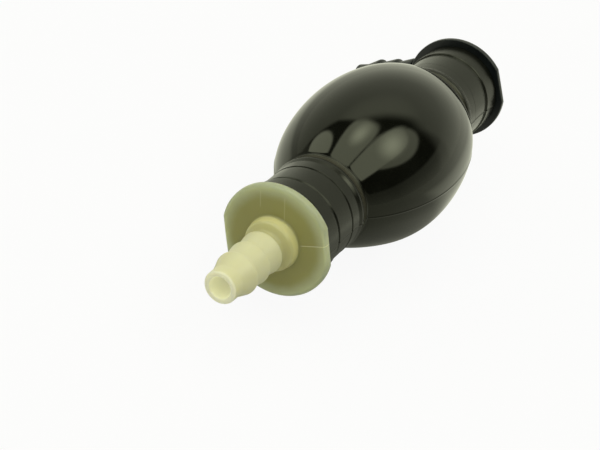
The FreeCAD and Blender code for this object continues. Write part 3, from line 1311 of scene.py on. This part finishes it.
def side_glow(bench: NodeBench, way: Flow, power: float, far_side: float = math.radians(5.0)) -> Flow:
    """Gives how much brighter the far side is than the sides and the near side.

    It is a quarter of the cosine of the angle round from the far side, plus three tenths of
    that cosine to a power.

    Args:
        bench: The bench that adds the nodes.
        way: The direction, whose height doesn't matter.
        power: The power.
        far_side: The far side's angle from +X towards +Y.

    Returns:
        The extra level.
    """
    flat = bench.vectors("NORMALIZE", bench.vectors("MULTIPLY", way, (1.0, 1.0, 0.0)))
    towards = bench.most(bench.dot(flat, (math.cos(far_side), math.sin(far_side), 0.0)), 0.0)
    return towards * 0.25 + towards ** power * 0.3


@dataclass(frozen=True)
class Shape:
    """A rounded shape on the map of the sky.

    The map throws each direction from the sky's lowest point onto the level plane through the
    sky's middle. Its own middle is overhead and its first axis points along +X.
    """

    middle: Pair
    half: Pair
    turn: float
    square: float = 2.0

    def reach(self, bench: NodeBench, sky: Flow) -> Flow:
        """Gives the distance from the middle, which is 1 on the shape's outline.

        It is the root of the sum of the two offsets over their halves, each to a power. The
        power 2 gives an ellipse, and more gives a squarer shape.

        Args:
            bench: The bench that adds the nodes.
            sky: The place on the map.

        Returns:
            The distance.
        """
        cosine, sine = math.cos(self.turn), math.sin(self.turn)
        total: Plug = 0.0
        for way, size in (((cosine, sine), self.half[0]), ((-sine, cosine), self.half[1])):
            scaled = way[0] / size, way[1] / size, 0.0
            offset = bench.dot(sky, scaled) - (self.middle[0] * scaled[0] + self.middle[1] * scaled[1])
            total = total + abs(offset) ** self.square
        return total ** (1.0 / self.square)


@dataclass(frozen=True)
class SoftBox:
    """A soft lamp: an even shape with a soft edge, and a brighter spot where its bulb is."""

    shape: Shape
    level: float
    soft: float = 0.09
    spot: Shape | None = None
    spot_level: float = 0.0

    def light(self, bench: NodeBench, sky: Flow) -> Flow:
        """Gives the lamp's level at a place on the map of the sky, 0 outside the lamp.

        Args:
            bench: The bench that adds the nodes.
            sky: The place on the map.

        Returns:
            The level.
        """
        inside = 1.0 - bench.rise(self.shape.reach(bench, sky), 1.0 - self.soft, 1.0 + self.soft)
        if self.spot is None:
            return inside * self.level
        spot = 1.0 - bench.rise(self.spot.reach(bench, sky), 0.0, 1.0)
        return inside * (self.level + spot * self.spot_level)


@dataclass(frozen=True)
class Edge:
    """A straight, soft edge on the map of the sky: the way it faces, where it starts and where it ends."""

    way: Pair
    start: float
    end: float

    def past(self, bench: NodeBench, sky: Flow, shift: Plug = 0.0) -> Flow:
        """1 past the edge and 0 before it, where the shift brings the edge nearer."""
        return bench.rise(bench.dot(sky, (*self.way, 0.0)) + shift, self.start, self.end)


@dataclass(frozen=True)
class Backdrop:
    """The white backdrop, which soft edges bound on the map of the sky.

    It is white past the near edge, where that is also past one of the two far ones. It is dimmer
    before the low edge, and on the side where it widens the near edge comes nearer.
    """

    near: Edge = Edge((0.835, 0.55), 0.165, 0.27)
    over: Edge = Edge((1.0, 0.0), 0.10, 0.15)
    side: Edge = Edge((0.912, 0.41), 0.255, 0.315)
    low: Edge = Edge((0.616, 0.788), -0.02, 0.05)
    wide: Edge = Edge((0.0, -1.0), 0.12, 0.30)
    widening: float = 0.05
    low_level: float = 0.55

    def share(self, bench: NodeBench, sky: Flow) -> Flow:
        """Gives how much of the backdrop shows at a place on the map, from 0 to 1.

        Args:
            bench: The bench that adds the nodes.
            sky: The place on the map.

        Returns:
            The share.
        """
        near = self.near.past(bench, sky, self.wide.past(bench, sky) * self.widening)
        far = bench.most(self.over.past(bench, sky), self.side.past(bench, sky))
        low = self.low_level + self.low.past(bench, sky) * (1.0 - self.low_level)
        return bench.maths("MINIMUM", near, far) * low


@dataclass
class Sky:
    """The studio's light by direction: a white backdrop, four soft lamps and a dark room with a haze."""

    backdrop: Backdrop = Backdrop()
    backdrop_level: float = 0.56
    overhead: float = 0.34
    overhead_rise: Pair = (0.60, 0.86)
    glow_fall: Pair = (-0.02, 0.40)
    glow_power: float = 14.0
    room_level: float = 0.03
    haze_level: float = 0.38
    haze_step: Pair = (0.27, 0.35)
    haze_fall: Pair = (-0.04, 0.22)
    step_share: float = 0.55
    haze_power: float = 6.0
    lamps: tuple[SoftBox, ...] = (
        SoftBox(Shape((-0.165, 0.528), (0.20, 0.188), 0.08), level=1.95, soft=0.10),
        SoftBox(
            Shape((-0.18, 0.118), (0.33, 0.162), -0.05, square=4.0), level=1.7,
            spot=Shape((0.02, 0.10), (0.15, 0.12), -0.05), spot_level=2.3,
        ),
        SoftBox(
            Shape((-0.118, -0.215), (0.385, 0.152), -0.04, square=3.0), level=1.8,
            spot=Shape((0.106, -0.235), (0.16, 0.19), -0.04), spot_level=2.4,
        ),
        SoftBox(
            Shape((0.075, -0.262), (0.262, 0.188), -0.5, square=2.2), level=1.1,
            spot=Shape((0.106, -0.235), (0.18, 0.18), -0.5), spot_level=2.5,
        ),
    )

    def level(self, bench: NodeBench, direction: Flow) -> Flow:
        """Gives the level of light in each direction.

        The backdrop is bright, more so overhead and low on the far side. The room behind the
        camera is nearly dark down to a haze over the floor, and the lamps hang in the dark.

        Args:
            bench: The bench that adds the nodes.
            direction: The direction that the ray goes in.

        Returns:
            The level.
        """
        _, _, up = bench.split(direction)
        sky = bench.scaled(direction, 1.0 / (bench.most(up, -0.5) + 1.0))
        step, slope = 1.0 - bench.rise(up, *self.haze_step), bench.fall(up, *self.haze_fall)
        haze = step * self.step_share + slope * (1.0 - self.step_share)
        haze = haze * (self.haze_level + side_glow(bench, direction, self.haze_power))
        lamps = bench.most(*(lamp.light(bench, sky) for lamp in self.lamps))
        room = bench.most(haze, self.room_level + lamps)
        glow = side_glow(bench, direction, self.glow_power) * bench.fall(up, *self.glow_fall)
        bright = self.backdrop_level + bench.rise(up, *self.overhead_rise) * self.overhead + glow
        backdrop = self.backdrop.share(bench, sky)
        return backdrop * bright + (1.0 - backdrop) * room

    def hang(self) -> None:
        """Lights the pump. The camera sees plain white past the floor, and a gloss sees the studio."""
        world = bpy.data.worlds.new("studio")
        bpy.context.scene.world = world
        bench = NodeBench(world)
        direction = bench.out(bench.add("ShaderNodeTexCoord"), "Generated")
        light = bench.glow("ShaderNodeBackground", TINT, self.level(bench, direction))
        plain = bench.glow("ShaderNodeBackground", WHITE)
        bench.finish("ShaderNodeOutputWorld", bench.rays("Camera", "Transmission"), light, plain)


@dataclass
class Floor:
    """The pale sheet that the pump lies on. Its reaches are distances from under the bulb's middle."""

    level: float = -25.0 * MM
    half: float = 4.0
    paper: tuple[Colour, Colour] = ((0.60, 0.60, 0.60), (0.66, 0.66, 0.65))
    whiteness: float = 0.93
    gloss: float = 0.935
    bulb_middle: float = 72.0 * MM
    # Painted shadow: the sheet's level in the gloss under the bulb.
    under: float = 0.22
    near: float = 0.24
    near_reach: Pair = (20.0 * MM, 50.0 * MM)
    far_reach: Pair = (60.0 * MM, 300.0 * MM)
    far_power: float = 6.0
    # Painted light: how much brighter the sheet is behind the bulb.
    behind: float = 0.5
    behind_reach: Pair = (110.0 * MM, 240.0 * MM)
    behind_rise: Pair = (6.0 * MM, 32.0 * MM)
    behind_way: Triple = (0.954, 0.30, 0.0)
    behind_lean: float = 1.5

    def glow(self, bench: NodeBench) -> Flow:
        """Gives the level of the sheet in the pump's gloss.

        It is dark under the bulb, which is a painted shadow. It is bright behind the bulb, which is painted
        light, and it is dim far off.

        Args:
            bench: The bench that adds the nodes.

        Returns:
            The level.
        """
        offset = bench.vectors("SUBTRACT", bench.place(), (self.bulb_middle, 0.0, self.level))
        away = bench.vectors("LENGTH", offset, output="Value")
        _, across, _ = bench.split(offset)
        past = bench.dot(offset, self.behind_way) + bench.most(across, 0.0) * self.behind_lean
        behind = bench.rise(past, *self.behind_rise) * (1.0 - bench.rise(away, *self.behind_reach))
        far = bench.rise(away, *self.far_reach) * side_glow(bench, offset, self.far_power)
        near = bench.rise(away, *self.near_reach)
        # Painted shadow under the bulb, and painted light behind it.
        return (self.under + near * self.near + behind * self.behind + far) * self.gloss

    def lay(self) -> None:
        """Lays the sheet: white to the camera, its glow to a gloss, and matt paper to all other rays."""
        far = self.half
        mesh = bpy.data.meshes.new("floor")
        corners = [(x, y, self.level) for x, y in ((-far, -far), (far, -far), (far, far), (-far, far))]
        mesh.from_pydata(corners, [], [(0, 1, 2, 3)])
        material = bpy.data.materials.new("pale_floor")
        bench = NodeBench(material)
        colour = bench.blend(bench.noise(scale=3.0, detail=2.0), *self.paper)
        matt = bench.out(bench.add("ShaderNodeBsdfDiffuse", {"Color": colour}))
        seen = bench.blend(bench.rays("Camera"), bench.scaled(TINT, self.glow(bench)), WHITE)
        straight = bench.rays("Camera", "Glossy", "Transmission") * self.whiteness
        bench.finish("ShaderNodeOutputMaterial", straight, matt, bench.glow("ShaderNodeEmission", seen))
        mesh.materials.append(material)
        floor = placed("floor", mesh)


@dataclass
class Studio:
    """Camera, pale floor and the soft light of a studio with a white backdrop."""

    camera_place: Triple = (-310.89, -107.28, 251.43)
    right: Triple = (0.4796, -0.8278, 0.2911)
    down: Triple = (-0.4096, -0.5045, -0.7601)
    forward: Triple = (0.7760, 0.2453, -0.5811)
    lens: float = 97.74
    sensor: float = 36.0
    clip: Pair = (0.01, 50.0)

    def place_camera(self) -> None:
        """Makes the camera at the photograph's viewing angle."""
        data = bpy.data.cameras.new("studio_camera")
        data.sensor_width, data.lens = self.sensor, self.lens
        data.clip_start, data.clip_end = self.clip
        camera = placed("studio_camera", data)
        ways = np.stack([self.right, self.down, self.forward], axis=1) * [1.0, -1.0, -1.0]
        turn = Matrix(ways.tolist())
        camera.matrix_world = Matrix.Translation([v * MM for v in self.camera_place]) @ turn.to_4x4()
        bpy.context.scene.camera = camera

    def build(self) -> None:
        """Sets up the whole studio."""
        self.place_camera()
        Floor().lay()
        Sky().hang()
        bpy.context.scene.view_settings.view_transform = "Standard"


def main() -> None:
    """Builds the studio and every piece of the pump in order."""
    logging.basicConfig(level=logging.INFO, format="%(name)s: %(message)s")
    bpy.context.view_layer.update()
    Studio().build()
    SqueezeBulb("squeeze_bulb", "bulb_moulding", Slot.BULB_RUBBER).build()
    InletFitting("inlet_fitting", "inlet_moulding", Slot.NATURAL_NYLON).build()
    OutletFitting("outlet_fitting", "outlet_moulding", Slot.BLACK_NYLON).build()
    for end in ("inlet", "outlet"):
        CheckValve(end).dress(frame["nodes"])


if __name__ == "__main__":
    main()
